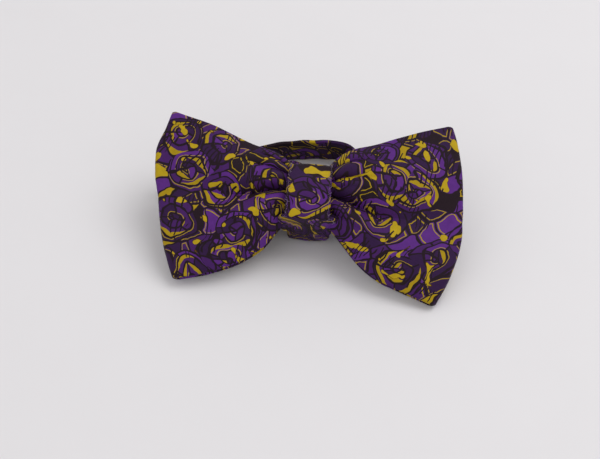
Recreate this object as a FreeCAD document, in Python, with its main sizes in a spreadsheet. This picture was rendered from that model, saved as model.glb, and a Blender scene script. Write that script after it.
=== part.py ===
"""Pre-tied bow tie with a coiled, adjustable neck strap.

The bow leans back on its lower corners, and its strap stands on edge behind the knot.
X runs along the bow and +Z is up. Sizes are in millimetres. The bow's own pieces are drawn in
the bow plane (X along the bow, Y up its height, Z out of its face) and then tilted back. The
strap's pieces are drawn flat, seen from above, with Z = 0 at the middle of the strap's width.
"""
import FreeCAD, Part
import math
import os
import Sketcher
from FreeCAD import Placement, Rotation, Vector

sizes = {
    # the bow as it leans on the table
    "lean": 30,
    "bow_rise": 20.9,
    # the three layers of a wing, from the outside in
    "shell_thick": 0.5,
    "lining_thick": 0.6,
    "facing_thick": 0.4,
    # a wing's stations: distance from the middle, half height of the section, and heights of the
    # lobes, the crease between them and the brim in front, and of the back panel and its rim
    "root_x": 9.6, "root_half": 17, "root_lobe": 7.6, "root_crease": 5.2, "root_brim": 3.4,
    "root_back": -0.8, "root_rim": -0.4,
    "full_x": 27, "full_half": 27, "full_lobe": 10, "full_crease": 6.6, "full_brim": 3,
    "full_back": -3, "full_rim": -2.2,
    "slope_x": 46, "slope_half": 37, "slope_lobe": 6.2, "slope_crease": 5, "slope_brim": 2.8,
    "slope_back": -2.6, "slope_rim": -2,
    "fold_x": 64, "fold_half": 46, "fold_lobe": 3.2, "fold_crease": 3, "fold_brim": 2.8,
    "fold_back": -1, "fold_rim": -0.9,
    "crease_drop": 1,
    # outline of the left wing
    "left_root_top": 12.3, "left_root_low": 10.9,
    "left_top_x": 56.4, "left_top_y": 30.1, "left_low_x": 51.4, "left_low_y": 36.3,
    "left_top_bow_x": 32, "left_top_bow_y": 21.4, "left_low_bow_x": 27, "left_low_bow_y": 29.2,
    "left_edge_x": 61.3, "left_edge_y": 6,
    # outline of the right wing
    "right_root_top": 15.4, "right_root_low": 9.2,
    "right_top_x": 53.3, "right_top_y": 32, "right_low_x": 51.6, "right_low_y": 38.9,
    "right_top_bow_x": 27.5, "right_top_bow_y": 24.9, "right_low_bow_x": 28.5, "right_low_bow_y": 31,
    "right_edge_x": 60.2, "right_edge_y": -3,
    # knot
    "knot_width": 17.2, "wrap_thick": 1.4, "wrap_fabric": 0.5, "hem_width": 1, "facet_end": 21,
    "waist_gap": 2.2, "waist_back": -0.8, "pleat_depth": 1.6, "pleat_width": 2.2,
    "thread_thick": 0.7, "thread_pitch": 0.62, "thread_turns": 7, "thread_gap": 0.05,
    "stitch_length": 2, "stitch_width": 0.5, "stitch_rise": 0.35, "stitch_pitch": 3.1, "stitch_count": 5,
    # strap section and the height at which it stands
    "strap_width": 13, "strap_thick": 2.2, "core_width": 11.4, "core_thick": 1.2,
    "strap_lift": 1.9, "strap_pitch": 1.5, "near_run_y": 2,
    # strap route, the outer arm
    "outer_run": 10, "corner_radius": 9, "side_run": 14.1, "far_corner_radius": 12,
    "far_radius": 80, "far_turn": 20, "hook_run": 32, "tail_run": 20,
    # strap route, the inner arm
    "inner_run": 31, "left_radius": 10.3, "left_turn": 172, "layer_run": 22.2,
    "curl_radius": 6.5, "curl_turn": 188, "eye_run": 19, "eye_tail": 8,
    "end_fold_radius": 1.9,
    # metal pieces
    "wire": 1, "loop_length": 6.4, "hook_reach": 4, "loop_corner": 1.5, "loop_clear": 0.5,
    "prong_width": 5, "prong_length": 5, "prong_radius": 1.4, "prong_thick": 0.9, "prong_return": 3.4,
    "slider_length": 4, "slider_wall": 0.9, "slider_clear": 0.3, "slider_bar": 0.9, "slider_offset": 10,
    "seam_stitch": 0.5, "seam_stitch_length": 1.2, "seam_pitch": 2.8, "seam_setback": 3,
}

doc = FreeCAD.newDocument("bow_tie")
dims = doc.addObject("Spreadsheet::Sheet", "dims")
for row, (alias, value) in enumerate(sizes.items(), start=1):
    dims.set(f"A{row}", alias)
    dims.set(f"B{row}", str(value))
    dims.setAlias(f"B{row}", alias)
doc.recompute()


def size(alias):
    """The value of one cell of the sheet."""
    return float(dims.get(alias))


# ---------------------------------------------------------------- sketches and bodies

def newBody(label):
    body = doc.addObject("PartDesign::Body", label)
    body.Label = label
    return body


def originPlane(body, role):
    return next(plane for plane in body.Origin.OriginFeatures if plane.Role == role)


def sketchOn(body, role, name):
    """A sketch on one of the body's own origin planes."""
    sketch = body.newObject("Sketcher::SketchObject", name)
    sketch.AttachmentSupport = (originPlane(body, role), [""])
    sketch.MapMode = "FlatFace"
    return sketch


def line(start, end):
    return Part.LineSegment(Vector(*start, 0), Vector(*end, 0))


def arc(start, middle, end):
    return Part.Arc(Vector(*start, 0), Vector(*middle, 0), Vector(*end, 0))


def closedLines(points):
    return [line(points[i - 1], points[i]) for i in range(len(points))]


def centredRectangle(sketch, wide, tall):
    """A rectangle about the sketch's origin, with both sizes bound to the sheet."""
    first = sketch.GeometryCount
    for edge in closedLines([(-1, -1), (1, -1), (1, 1), (-1, 1)]):
        sketch.addGeometry(edge)
    left, low, right, top = range(first, first + 4)
    for edge, following in ((left, low), (low, right), (right, top), (top, left)):
        sketch.addConstraint(Sketcher.Constraint("Coincident", edge, 2, following, 1))
    for edge in (low, top):
        sketch.addConstraint(Sketcher.Constraint("Horizontal", edge))
    for edge in (left, right):
        sketch.addConstraint(Sketcher.Constraint("Vertical", edge))
    sketch.addConstraint(Sketcher.Constraint("Symmetric", low, 1, top, 1, -1, 1))
    across = sketch.addConstraint(Sketcher.Constraint("DistanceX", low, 1, low, 2, 2))
    sketch.setExpression(f"Constraints[{across}]", f"{wide} * 1mm")
    along = sketch.addConstraint(Sketcher.Constraint("DistanceY", right, 1, right, 2, 2))
    sketch.setExpression(f"Constraints[{along}]", f"{tall} * 1mm")


def insetCorners(corners, inset):
    """Corners of a convex, counter-clockwise outline after each side moves in by `inset`."""
    moved = []
    for i, (x, y, radius) in enumerate(corners):
        before = Vector(x - corners[i - 1][0], y - corners[i - 1][1], 0).normalize()
        after = Vector(corners[(i + 1) % len(corners)][0] - x, corners[(i + 1) % len(corners)][1] - y, 0)
        after.normalize()
        bisector = (after - before).normalize()
        reach = inset / abs(before.x * bisector.y - before.y * bisector.x)
        moved.append((x + bisector.x * reach, y + bisector.y * reach, max(radius - inset, 0.2)))
    return moved


def roundedOutline(corners):
    """Lines and tangent arcs through corners given as (x, y, radius)."""
    cuts = []
    for i, (x, y, radius) in enumerate(corners):
        corner = Vector(x, y, 0)
        back = (Vector(*corners[i - 1][:2], 0) - corner).normalize()
        ahead = (Vector(*corners[(i + 1) % len(corners)][:2], 0) - corner).normalize()
        half = back.getAngle(ahead) / 2
        start = corner + back * (radius / math.tan(half))
        end = corner + ahead * (radius / math.tan(half))
        middle = corner + (back + ahead).normalize() * (radius / math.sin(half) - radius)
        cuts.append((start, middle, end))
    edges = []
    for i, (start, middle, end) in enumerate(cuts):
        edges.append(Part.LineSegment(cuts[i - 1][2], start))
        edges.append(Part.Arc(start, middle, end))
    return edges


def addPad(body, profile, length, name="Pad"):
    """A pad that reaches the same way on both sides of its sketch."""
    pad = body.newObject("PartDesign::Pad", name)
    pad.Profile = profile
    pad.SideType = "Symmetric"
    pad.setExpression("Length", length)
    return pad


def addPocket(body, profile, length, name="Pocket"):
    """A pocket that cuts the same way on both sides of its sketch."""
    pocket = body.newObject("PartDesign::Pocket", name)
    pocket.Profile = profile
    pocket.SideType = "Symmetric"
    pocket.setExpression("Length", length)
    return pocket


def addPipe(body, profile, spine, name):
    pipe = body.newObject("PartDesign::AdditivePipe", name)
    pipe.Profile = profile
    pipe.Spine = spine
    return pipe


# ---------------------------------------------------------------- wings

stations = ("root", "full", "slope", "fold")
plies = ("fabric", "interlining", "facing")


def wingSection(side, sign, station, depth):
    """A slice across the wing: two front lobes that meet in a crease, and a shallow back panel."""
    sketch = doc.addObject("Sketcher::SketchObject", f"{side}_{station}_{depth:.1f}".replace(".", "_"))
    sketch.Placement = Placement(Vector(), Rotation(Vector(1, 1, 1), 120))
    sketch.setExpression(".Placement.Base.x", f"{sign} * dims.{station}_x * 1mm")
    half = size(f"{station}_half")
    brim = size(f"{station}_brim") - depth
    lobe = size(f"{station}_lobe") - depth
    back = size(f"{station}_back") + depth
    rim = size(f"{station}_rim") + depth
    crease = (-size("crease_drop"), size(f"{station}_crease") - depth)
    sketch.addGeometry(arc((-half, brim), (-half / 2, lobe), crease))
    sketch.addGeometry(arc(crease, (half / 2, lobe), (half, brim)))
    sketch.addGeometry(line((half, brim), (half, rim)))
    sketch.addGeometry(arc((half, rim), (0, back), (-half, rim)))
    sketch.addGeometry(line((-half, rim), (-half, brim)))
    return sketch


def wingLoft(side, sign, level, depth):
    loft = doc.addObject("Part::Loft", f"{side}_loft_{level}")
    loft.Sections = [wingSection(side, sign, station, depth) for station in stations]
    loft.Solid = True
    loft.Ruled = True
    return loft


def wingOutline(side, sign):
    """A prism of the wing's outline: three bowed edges between two corners and the root."""
    def at(name, flip=1):
        return (sign * size(f"{side}_{name}_x"), flip * size(f"{side}_{name}_y"))

    rootTop = (sign * size("root_x"), size(f"{side}_root_top"))
    rootLow = (sign * size("root_x"), -size(f"{side}_root_low"))
    sketch = doc.addObject("Sketcher::SketchObject", f"{side}_outline")
    sketch.addGeometry(arc(rootTop, at("top_bow"), at("top")))
    sketch.addGeometry(arc(at("top"), at("edge"), at("low", -1)))
    sketch.addGeometry(arc(at("low", -1), at("low_bow", -1), rootLow))
    sketch.addGeometry(line(rootLow, rootTop))
    prism = doc.addObject("Part::Extrusion", f"{side}_prism")
    prism.Base = sketch
    prism.DirMode = "Normal"
    prism.Solid = True
    prism.Symmetric = True
    prism.setExpression("LengthFwd", "dims.fold_half * 1mm")
    rim = Part.Circle(Vector(*at("top"), 0), Vector(*at("edge"), 0), Vector(*at("low", -1), 0))
    return prism, rim


def wingHollow(side, sign, level, depth, rim):
    """What is left inside the wing at a depth: open above and below, closed by the outer fold."""
    reach = doc.addObject("Part::Cylinder", f"{side}_reach_{level}")
    reach.Radius = rim.Radius - depth
    reach.setExpression("Height", "dims.fold_half * 1mm")
    reach.Placement = Placement(rim.Center - Vector(0, 0, size("fold_half") / 2), Rotation())
    hollow = doc.addObject("Part::Common", f"{side}_hollow_{level}")
    hollow.Base = wingLoft(side, sign, level, depth)
    hollow.Tool = reach
    return hollow


def makeWing(side, sign):
    """Three nested plies folded back on themselves at the wing's outer edge."""
    prism, rim = wingOutline(side, sign)
    whole = doc.addObject("Part::Common", f"{side}_whole")
    whole.Base = wingLoft(side, sign, 0, 0)
    whole.Tool = prism
    layers = [whole]
    depth = 0
    for level, thickness in enumerate(("shell_thick", "lining_thick", "facing_thick"), start=1):
        depth += size(thickness)
        layers.append(wingHollow(side, sign, level, depth, rim))
    pieces = []
    for level, ply in enumerate(plies):
        shell = doc.addObject("Part::Cut", f"{side}_{ply}_shell")
        shell.Base = layers[level]
        shell.Tool = layers[level + 1]
        piece = doc.addObject("Part::Common", f"{side}_wing_{ply}")
        piece.Base = shell
        piece.Tool = prism
        piece.Label = f"{side}_wing_{ply}"
        pieces.append(piece)
    return pieces


# ---------------------------------------------------------------- knot

def inBowPlane(y, z):
    """A point of the upright Y-Z plane, seen in the bow's own tilted plane."""
    lean = math.radians(size("lean"))
    rise = z - size("bow_rise")
    return (y * math.cos(lean) + rise * math.sin(lean), rise * math.cos(lean) - y * math.sin(lean))


facetLow = inBowPlane(4.6, 0.3)
facetTop = inBowPlane(9.9, size("facet_end"))

# the wrap's outline from the side, counter-clockwise, with the radius at each corner
wrapCorners = [
    (*facetTop, 1.5),
    (12.0, 1.6, 2.0),
    (12.8, 5.5, 3.0),
    (2.0, 12.6, 14.0),
    (-11.2, 11.2, 2.0),
    (*inBowPlane(-6.0, 0.3), 5.0),
    (*facetLow, 1.8),
]


def addLoop(sketch, inset):
    for edge in roundedOutline(insetCorners(wrapCorners, inset)):
        sketch.addGeometry(edge)


def makeKnotWrap():
    """A fabric strip wound round the waist and the strap, hollowed for its interlining."""
    body = newBody("knot_wrap")
    ring = sketchOn(body, "YZ_Plane", "Ring")
    addLoop(ring, 0)
    addLoop(ring, size("wrap_thick"))
    addPad(body, ring, "dims.knot_width")
    doc.recompute()
    channel = sketchOn(body, "YZ_Plane", "Channel")
    addLoop(channel, size("wrap_fabric"))
    addPocket(body, channel, "dims.knot_width - 2 * dims.hem_width")
    return body


def makeKnotInterlining():
    """The stiffening strip that fills the wrap's channel."""
    body = newBody("knot_wrap_interlining")
    ring = sketchOn(body, "YZ_Plane", "Ring")
    addLoop(ring, size("wrap_fabric"))
    addLoop(ring, size("wrap_thick"))
    addPad(body, ring, "dims.knot_width - 2 * dims.hem_width")
    return body


def waistCorners(grow):
    """The gathered middle from the side: the wrap's inside, cut off flat behind and below."""
    top, front, low = insetCorners(wrapCorners, size("waist_gap"))[1:4]
    back = size("waist_back")
    corners = [(8.2, back, 1.0), (*top[:2], 1.0), (*front[:2], 1.5), (low[0], low[1], 6.0),
               (-9.6, 8.8, 1.5), (-9.8, back, 1.0)]
    return insetCorners(corners, -grow)


def makeWaist():
    """The bow's pleated middle, with pleat grooves along its front."""
    body = newBody("bow_waist")
    section = sketchOn(body, "YZ_Plane", "Section")
    for edge in roundedOutline(waistCorners(0)):
        section.addGeometry(edge)
    addPad(body, section, "dims.knot_width")
    doc.recompute()
    grooves = sketchOn(body, "YZ_Plane", "Grooves")
    depth = size("pleat_depth")
    half = size("pleat_width") / 2
    top = size("full_lobe") + depth
    for middle, face in ((-6.5, 9.3), (-2.5, 9.7), (1.5, 10.0), (5.5, 7.9)):
        for edge in closedLines([(middle - half, top), (middle, face - depth), (middle + half, top)]):
            grooves.addGeometry(edge)
    addPocket(body, grooves, "dims.knot_width")
    return body


def makeWaistThread():
    """Thread wound side by side round the waist, as one ribbed band."""
    body = newBody("waist_thread")
    turn = size("thread_pitch")
    count = int(size("thread_turns"))
    spine = sketchOn(body, "YZ_Plane", "Spine")
    for edge in roundedOutline(waistCorners(size("thread_gap"))):
        spine.addGeometry(edge)
    corners = waistCorners(size("thread_gap"))
    foot = corners[0][1]
    profile = sketchOn(body, "XZ_Plane", "Profile")
    left = -turn * count / 2
    points = [(left + turn * i, foot) for i in range(count + 1)]
    for start, end in zip(points, points[1:]):
        middle = ((start[0] + end[0]) / 2, foot - size("thread_thick") / 2)
        profile.addGeometry(arc(start, middle, end))
    profile.addGeometry(line(points[-1], points[0]))
    addPipe(body, profile, spine, "Winding")
    return body


def makeBackStitches():
    """Short hand stitches across the wrap's end, on the narrow slope above the flat back."""
    pieces = []
    top = Vector(0, *wrapCorners[1][:2])
    foot = Vector(0, *facetTop)
    slope = (top - foot).normalize()
    out = Vector(0, slope.z, -slope.y)
    middle = (top + foot) * 0.5
    count = int(size("stitch_count"))
    turn = Rotation(Vector(-1, 0, 0), slope, out, "XYZ")
    for i in range(count):
        stitch = doc.addObject("Part::Box", f"back_stitch_{i + 1}")
        stitch.setExpression("Length", "dims.stitch_width * 1mm")
        stitch.setExpression("Width", "dims.stitch_length * 1mm")
        stitch.setExpression("Height", "dims.stitch_rise * 1mm")
        across = (i - (count - 1) / 2) * size("stitch_pitch") + size("stitch_width") / 2
        corner = middle + Vector(across, 0, 0) - slope * (size("stitch_length") / 2)
        stitch.Placement = Placement(corner, turn)
        pieces.append(stitch)
    row = doc.addObject("Part::Compound", "knot_back_stitches")
    row.Links = pieces
    row.Label = "knot_back_stitches"
    return row


# ---------------------------------------------------------------- strap

def walk(start, heading, moves):
    """Lines and tangent arcs from a start point, with each move's own end and heading.

    A move is ("run", length) or ("bend", radius, degrees), with a left bend positive."""
    edges = []
    ends = {}
    point = Vector(*start, 0)
    for name, kind, *values in moves:
        ahead = Vector(math.cos(heading), math.sin(heading), 0)
        if kind == "run":
            goal = point + ahead * values[0]
            edges.append(Part.LineSegment(point, goal))
        else:
            radius, degrees = values
            side = math.copysign(1, degrees)
            centre = point + Vector(-ahead.y, ahead.x, 0) * (side * radius)
            spoke = point - centre
            middle = centre + Rotation(Vector(0, 0, 1), degrees / 2).multVec(spoke)
            goal = centre + Rotation(Vector(0, 0, 1), degrees).multVec(spoke)
            edges.append(Part.Arc(point, middle, goal))
            heading += math.radians(degrees)
            ends[name + "_centre"] = centre
        point = goal
        ends[name] = (point, heading)
    return edges, ends


def outerArm():
    """From the knot round the right-hand bend and the far side to the hook's fold."""
    return walk((0, size("near_run_y")), 0, [
        ("knot", "run", size("outer_run")),
        ("corner", "bend", size("corner_radius"), 90),
        ("side", "run", size("side_run")),
        ("far_corner", "bend", size("far_corner_radius"), 90),
        ("far_run", "bend", size("far_radius"), size("far_turn")),
        ("hook_run", "run", size("hook_run")),
        ("hook_fold", "bend", size("end_fold_radius"), -180),
        ("tail", "run", size("tail_run")),
    ])


def innerArm():
    """From the knot to the left, back behind the bow and curled in to the eye's fold."""
    return walk((0, size("near_run_y")), math.pi, [
        ("knot", "run", size("inner_run")),
        ("left_bend", "bend", size("left_radius"), -size("left_turn")),
        ("layer", "run", size("layer_run")),
        ("curl", "bend", size("curl_radius"), -size("curl_turn")),
        ("eye_run", "run", size("eye_run")),
        ("eye_fold", "bend", size("end_fold_radius"), -180),
        ("tail", "run", size("eye_tail")),
    ])


def makeStrap(label, hollow):
    """The strap's band along both arms: a fabric tube, or the core that fills it."""
    body = newBody(label)
    thick, width = ("strap_thick", "strap_width") if hollow else ("core_thick", "core_width")
    for name, (edges, ends) in (("outer", outerArm()), ("inner", innerArm())):
        spine = sketchOn(body, "XY_Plane", f"{name}_route")
        for edge in edges:
            spine.addGeometry(edge)
        profile = sketchOn(body, "YZ_Plane", f"{name}_section")
        profile.setExpression("AttachmentOffset.Base.x", "dims.near_run_y * 1mm")
        centredRectangle(profile, f"dims.{thick}", f"dims.{width}")
        if hollow:
            centredRectangle(profile, "dims.core_thick", "dims.core_width")
        doc.recompute()
        addPipe(body, profile, spine, f"{name}_arm")
        doc.recompute()
    return body


def heading(angle):
    return Rotation(Vector(0, 0, 1), math.degrees(angle))


def wireLoop(body, reach):
    """A closed wire frame whose inner leg is the bar that the strap folds round."""
    half = size("strap_width") / 2 + size("loop_clear") + size("wire") / 2
    corner = size("loop_corner")
    spine = sketchOn(body, "XZ_Plane", "Spine")
    for edge in roundedOutline([(0, -half, corner), (reach, -half, corner), (reach, half, corner),
                                (0, half, corner)]):
        spine.addGeometry(edge)
    profile = sketchOn(body, "XY_Plane", "Wire")
    circle = profile.addGeometry(Part.Circle(Vector(), Vector(0, 0, 1), 1))
    profile.addConstraint(Sketcher.Constraint("Coincident", circle, 3, -1, 1))
    across = profile.addConstraint(Sketcher.Constraint("Diameter", circle, 1))
    profile.setExpression(f"Constraints[{across}]", "dims.wire * 1mm")
    doc.recompute()
    addPipe(body, profile, spine, "Frame")


def makeEye():
    body = newBody("eye_loop")
    wireLoop(body, size("loop_length"))
    return body


def makeHook():
    """A wire frame with a flat prong that turns back into a hook."""
    body = newBody("hook")
    wireLoop(body, size("hook_reach"))
    start = size("hook_reach")
    radius = size("prong_radius")
    half = size("prong_thick") / 2
    end = start + size("prong_length")
    tip = end - size("prong_return")
    prong = sketchOn(body, "XY_Plane", "Prong")
    inner, outer = radius - half, radius + half
    for edge in (
        line((start, -half), (end, -half)),
        arc((end, -half), (end + outer, radius), (end, radius + outer)),
        line((end, radius + outer), (tip, radius + outer)),
        line((tip, radius + outer), (tip, radius + inner)),
        line((tip, radius + inner), (end, radius + inner)),
        arc((end, radius + inner), (end + inner, radius), (end, half)),
        line((end, half), (start, half)),
        line((start, half), (start, -half)),
    ):
        prong.addGeometry(edge)
    doc.recompute()
    addPad(body, prong, "dims.prong_width", "Prong_pad")
    return body


def makeSlider():
    """A flat frame round both plies of the doubled strap, with a bar between them."""
    body = newBody("strap_slider")
    frame = sketchOn(body, "YZ_Plane", "Frame")
    gap = 2 * size("end_fold_radius")
    inner = size("strap_thick") / 2 + size("slider_clear")
    half = size("strap_width") / 2 + size("slider_clear")
    wall = size("slider_wall")
    bar = size("slider_bar") / 2
    outline = (-inner - wall, gap + inner + wall, half + wall)
    windows = ((-inner, gap / 2 - bar, half), (gap / 2 + bar, gap + inner, half))
    for low, high, tall in (outline, *windows):
        for edge in closedLines([(low, -tall), (high, -tall), (high, tall), (low, tall)]):
            frame.addGeometry(edge)
    addPad(body, frame, "dims.slider_length")
    return body


def makeEyeStitches(ends):
    """Four stitches that close the strap's fold behind the eye, straight through both plies."""
    point, angle = ends["eye_run"]
    across = heading(angle).multVec(Vector(0, 1, 0))
    along = heading(angle).multVec(Vector(-1, 0, 0))
    thick = size("strap_thick")
    length = 2 * size("end_fold_radius") + thick + 2 * size("seam_stitch")
    foot = point + along * size("seam_setback") - across * (length - thick / 2 - size("seam_stitch"))
    pieces = []
    for i in range(4):
        stitch = doc.addObject("Part::Box", f"eye_stitch_{i + 1}")
        stitch.setExpression("Length", "dims.seam_stitch * 1mm")
        stitch.setExpression("Height", "dims.seam_stitch_length * 1mm")
        stitch.Width = length
        height = (i - 1.5) * size("seam_pitch") - size("seam_stitch_length") / 2
        stitch.Placement = Placement(foot + Vector(0, 0, height), heading(angle))
        pieces.append(stitch)
    row = doc.addObject("Part::Compound", "eye_fold_stitches")
    row.Links = pieces
    row.Label = "eye_fold_stitches"
    return row


# ---------------------------------------------------------------- assembly

leanBack = Placement(Vector(0, 0, size("bow_rise")), Rotation(Vector(1, 0, 0), size("lean")))
onEdge = Placement(Vector(0, 0, size("strap_lift") + size("strap_width") / 2),
                   Rotation(Vector(1, 0, 0), -size("strap_pitch")))

bowPieces = [*makeWing("left", -1), *makeWing("right", 1), makeWaist(), makeWaistThread(),
             makeKnotWrap(), makeKnotInterlining(), makeBackStitches()]

innerEnds = innerArm()[1]
outerEnds = outerArm()[1]
eyeSpot = Placement(innerEnds["eye_fold_centre"], heading(innerEnds["eye_run"][1]))
hookSpot = Placement(outerEnds["hook_fold_centre"], heading(outerEnds["hook_run"][1]))
sliderPoint, sliderHeading = outerEnds["hook_run"]
back = heading(sliderHeading).multVec(Vector(-size("slider_offset"), 0, 0))
sliderSpot = Placement(sliderPoint + back, Rotation(Vector(0, 0, 1), math.degrees(sliderHeading) + 180))

strapPieces = [
    (makeStrap("neck_strap", True), Placement()),
    (makeStrap("strap_interlining", False), Placement()),
    (makeEye(), eyeSpot),
    (makeHook(), hookSpot),
    (makeSlider(), sliderSpot),
    (makeEyeStitches(innerEnds), Placement()),
]

for piece in bowPieces:
    piece.Placement = leanBack
for piece, spot in strapPieces:
    piece.Placement = onEdge.multiply(spot)
doc.recompute()

pieces = bowPieces + [piece for piece, spot in strapPieces]
for item in doc.Objects:
    if "Invalid" in item.State or "Error" in item.State:
        raise RuntimeError(f"{item.Label} failed: {item.State}")
for piece in pieces:
    if piece.Shape.isNull() or not piece.Shape.isValid():
        raise RuntimeError(f"{piece.Label} has no valid shape")

# the origin goes to the middle of the footprint, at the height of the table
box = FreeCAD.BoundBox()
for piece in pieces:
    box.add(piece.Shape.optimalBoundingBox(True, False))
toOrigin = Placement(Vector(-box.Center.x, -box.Center.y, -box.ZMin), Rotation())
for piece in pieces:
    piece.Placement = toOrigin.multiply(piece.Placement)
doc.recompute()

os.makedirs("parts", exist_ok=True)
for piece in pieces:
    piece.Shape.exportStep(f"parts/{piece.Label}.step")
    print(f"{piece.Label}: {len(piece.Shape.Solids)} solid(s), {piece.Shape.Volume:.1f} mm3")

leanedBow = toOrigin.multiply(leanBack)
stoodStrap = toOrigin.multiply(onEdge)
facet = Vector(0, (facetLow[0] + facetTop[0]) / 2, (facetLow[1] + facetTop[1]) / 2)
facetOut = Vector(0, facetTop[1] - facetLow[1], facetLow[0] - facetTop[0]).normalize()
print("facet", leanedBow.multVec(facet), leanedBow.Rotation.multVec(facetOut))
print("size", [round(v, 2) for v in (box.XLength, box.YLength, box.ZLength)])
print("origin shift", [round(v, 3) for v in toOrigin.Base])
print("left hinge", leanedBow.multVec(Vector(-size("root_x") + 0.5, 0, 8)))
print("right hinge", leanedBow.multVec(Vector(size("root_x") - 0.5, 0, 8)))
print("wing hinge axis", leanedBow.Rotation.multVec(Vector(0, 1, 0)))
print("eye bar", stoodStrap.multVec(eyeSpot.Base), "heading", math.degrees(innerEnds["eye_run"][1]))
print("hook bar", stoodStrap.multVec(hookSpot.Base), "heading", math.degrees(outerEnds["hook_run"][1]))
print("bar axis", stoodStrap.Rotation.multVec(Vector(0, 0, 1)))
print("slider", stoodStrap.multVec(sliderSpot.Base), stoodStrap.Rotation.multVec(back))
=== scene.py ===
import bmesh
import bpy
import math
import numpy as np
from functools import partial
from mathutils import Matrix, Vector


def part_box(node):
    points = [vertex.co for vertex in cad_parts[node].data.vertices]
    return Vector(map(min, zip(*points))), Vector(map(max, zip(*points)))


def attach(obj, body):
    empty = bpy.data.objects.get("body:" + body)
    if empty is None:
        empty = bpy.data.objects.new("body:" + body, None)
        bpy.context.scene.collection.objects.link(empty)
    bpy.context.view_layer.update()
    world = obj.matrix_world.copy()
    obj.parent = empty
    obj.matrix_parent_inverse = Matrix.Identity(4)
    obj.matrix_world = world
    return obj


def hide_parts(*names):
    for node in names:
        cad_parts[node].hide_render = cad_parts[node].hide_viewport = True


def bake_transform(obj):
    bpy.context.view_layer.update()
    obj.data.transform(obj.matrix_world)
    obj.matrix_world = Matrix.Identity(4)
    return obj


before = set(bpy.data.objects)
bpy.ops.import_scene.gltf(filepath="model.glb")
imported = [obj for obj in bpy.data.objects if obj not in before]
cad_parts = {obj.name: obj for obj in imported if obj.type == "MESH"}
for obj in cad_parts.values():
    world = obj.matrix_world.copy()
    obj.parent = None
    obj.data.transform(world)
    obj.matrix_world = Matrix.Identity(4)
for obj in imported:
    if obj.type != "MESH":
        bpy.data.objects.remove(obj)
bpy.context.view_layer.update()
scene = bpy.context.scene
mm = 0.001
perMetre = 1000   # mm in a metre
print("frame loaded:", len(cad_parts), "pieces")


# camera, floor and light

cameraRig = {
    "distance": 0.55, "elevation": 48.0, "azimuth": 5.4, "lens": 84.0,
    "bowCentre": (0.6, -1.6, 21.1),   # the middle of the bow, in mm
    "aimRight": -3.9, "aimUp": -12.7,   # from the middle of the bow, in mm
}


def makeCamera(rig):
    az, el = math.radians(rig["azimuth"]), math.radians(rig["elevation"])
    back = Vector((math.sin(az) * math.cos(el), -math.cos(az) * math.cos(el), math.sin(el)))
    right = Vector((math.cos(az), math.sin(az), 0))
    up = back.cross(right)
    aim = (Vector(rig["bowCentre"]) + right * rig["aimRight"] + up * rig["aimUp"]) * mm
    data = bpy.data.cameras.new("camera")
    data.lens, data.sensor_width = rig["lens"], 36
    data.clip_start, data.clip_end = 0.01, 20
    camera = bpy.data.objects.new("camera", data)
    camera.location = aim + back * rig["distance"]
    camera.rotation_mode = "QUATERNION"
    camera.rotation_quaternion = back.to_track_quat("Z", "Y")
    scene.collection.objects.link(camera)
    scene.camera = camera


makeCamera(cameraRig)

lightRig = {
    "worldLight": 0.7, "worldColour": (1.0, 0.992, 0.994),
    "lamps": [   # name, place in metres, size, power
        ("overhead", (0.6, 0.3, 1.2), 1.0, 6.8),
        ("fill", (-0.5, -0.9, 1.1), 1.2, 1.4),
    ],
}


def makeLights(rig):
    world = bpy.data.worlds.new("studio")
    world.use_nodes = True
    background = world.node_tree.nodes["Background"]
    background.inputs["Color"].default_value = (*rig["worldColour"], 1)
    background.inputs["Strength"].default_value = rig["worldLight"]
    scene.world = world
    for name, place, size, power in rig["lamps"]:
        data = bpy.data.lights.new(name, "AREA")
        data.shape, data.size, data.energy = "DISK", size, power
        lamp = bpy.data.objects.new(name, data)
        lamp.location = place
        lamp.rotation_mode = "QUATERNION"
        lamp.rotation_quaternion = Vector(place).to_track_quat("Z", "Y")
        scene.collection.objects.link(lamp)


makeLights(lightRig)
scene.view_settings.view_transform = "Standard"


# nodes for materials

def put(tree, kind, settings=(), **inputs):   # one node, its settings, then its inputs by name or _number
    made = tree.nodes.new(kind)
    for name, value in dict(settings).items():
        setattr(made, name, value)
    for name, value in inputs.items():
        socket = made.inputs[int(name[1:])] if name[0] == "_" else made.inputs[name]
        if isinstance(value, bpy.types.NodeSocket):
            tree.links.new(value, socket)
        else:
            socket.default_value = value
    return made


def calc(tree, operation, a, b=0.0, c=0.0):
    third = {"_2": c} if operation in ("MULTIPLY_ADD", "COMPARE") else {}
    return put(tree, "ShaderNodeMath", {"operation": operation}, _0=a, _1=b, **third).outputs[0]


def vectorCalc(tree, operation, a, b):
    return put(tree, "ShaderNodeVectorMath", {"operation": operation}, _0=a, _1=b).outputs[0]


def scaled(tree, vector, factor):
    return put(tree, "ShaderNodeVectorMath", {"operation": "SCALE"}, _0=vector, Scale=factor).outputs[0]


def mixed(tree, factor, a, b):
    return put(tree, "ShaderNodeMix", {"data_type": "RGBA"}, _0=factor, _6=a, _7=b).outputs[2]


def split(tree, vector):   # its three parts
    return put(tree, "ShaderNodeSeparateXYZ", _0=vector).outputs


def flatNoise(tree, vector, scale, detail):
    return put(tree, "ShaderNodeTexNoise", {"noise_dimensions": "2D"}, Vector=vector, Scale=scale,
               Detail=detail).outputs


def objectPlace(tree):   # in mm
    return scaled(tree, put(tree, "ShaderNodeTexCoord").outputs["Object"], perMetre)


def varied(tree, colour, value, gain, base):   # a colour made lighter and darker by a value
    bright = calc(tree, "MULTIPLY_ADD", value, gain, base)
    return put(tree, "ShaderNodeHueSaturation", Color=colour, Value=bright).outputs[0]


def roughen(tree, shader, height, strength, depth):
    bump = put(tree, "ShaderNodeBump", Strength=strength, Distance=depth, Height=height)
    tree.links.new(bump.outputs[0], shader.inputs["Normal"])


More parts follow.
